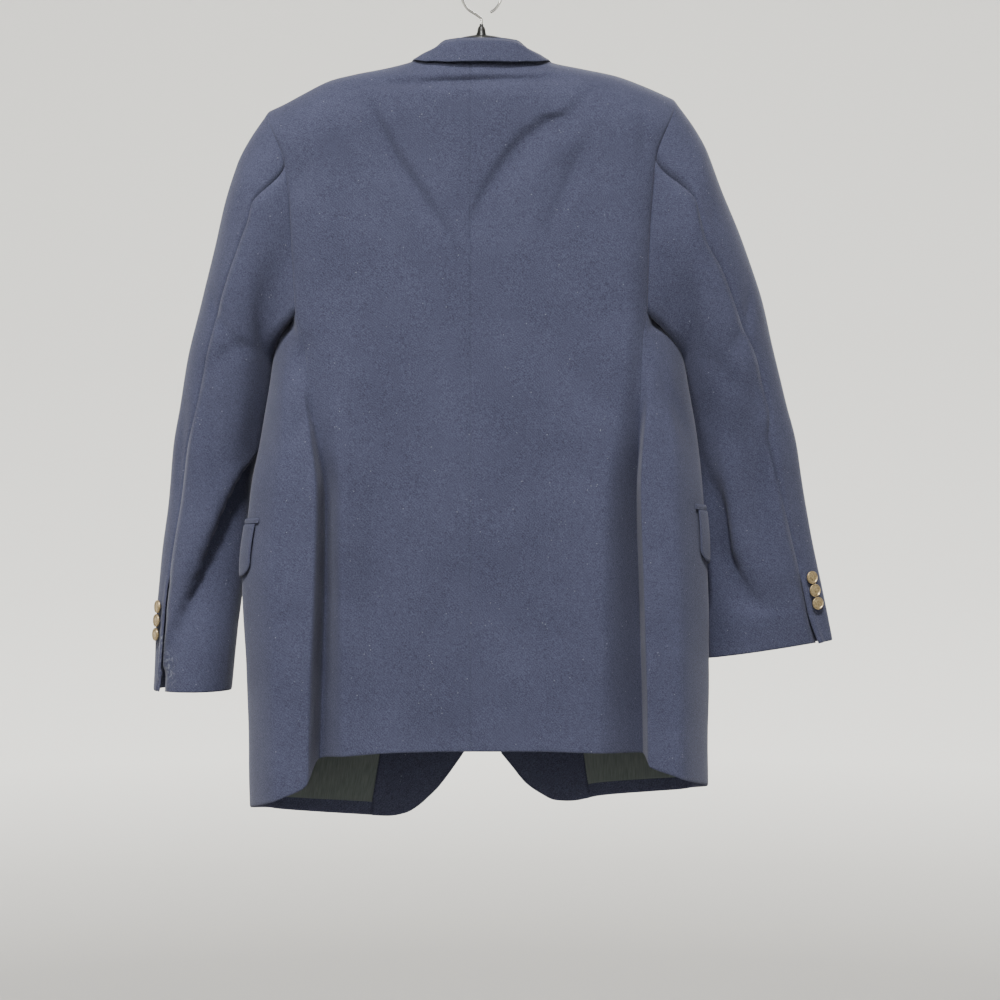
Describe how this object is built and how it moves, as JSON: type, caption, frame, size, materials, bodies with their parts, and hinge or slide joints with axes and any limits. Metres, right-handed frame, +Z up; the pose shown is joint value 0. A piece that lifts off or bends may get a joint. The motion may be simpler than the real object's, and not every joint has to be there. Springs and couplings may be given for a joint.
{
  "type": "blazer on a hanger",
  "caption": "Single-breasted navy wool blazer hanging from a moulded hanger, with notched lapels, flap pockets, two-piece sleeves and gilt buttons.",
  "frame": {"origin": "the inner top of the hook, where a rod or a nail carries the hanger", "axes": "+Z up, +Y to the front of the blazer, so -Y is its back; +X is the wearer's right"},
  "size_m": [0.793, 0.1502, 0.9825],
  "materials": {
    "wool": "fine navy wool twill, matt with a light nap",
    "satin": "green-grey lining satin",
    "gilt": "antique gilt, satin",
    "black_plastic": "moulded, slightly glossy",
    "bright_wire": "bright plated wire"
  },
  "bodies": {
    "root": {"back_left": "wool", "back_right": "wool", "side_left": "wool", "side_right": "wool", "front_left": "wool", "front_right": "wool", "facing_left": "wool", "facing_right": "wool", "lining_left": "satin", "lining_right": "satin", "lapel_left": "wool", "lapel_right": "wool", "collar": "wool", "top_sleeve_left": "wool", "under_sleeve_left": "wool", "top_sleeve_right": "wool", "under_sleeve_right": "wool", "flap_left": "wool", "flap_right": "wool", "jet_left": "wool", "jet_right": "wool", "breast_welt": "wool", "sleeve_button_left_1": "gilt", "sleeve_button_left_2": "gilt", "sleeve_button_left_3": "gilt", "sleeve_button_right_1": "gilt", "sleeve_button_right_2": "gilt", "sleeve_button_right_3": "gilt", "front_button_top": "gilt", "front_button_low": "gilt", "hanger_body": "black_plastic", "hanger_hook": "bright_wire"}
  },
  "joints": []
}
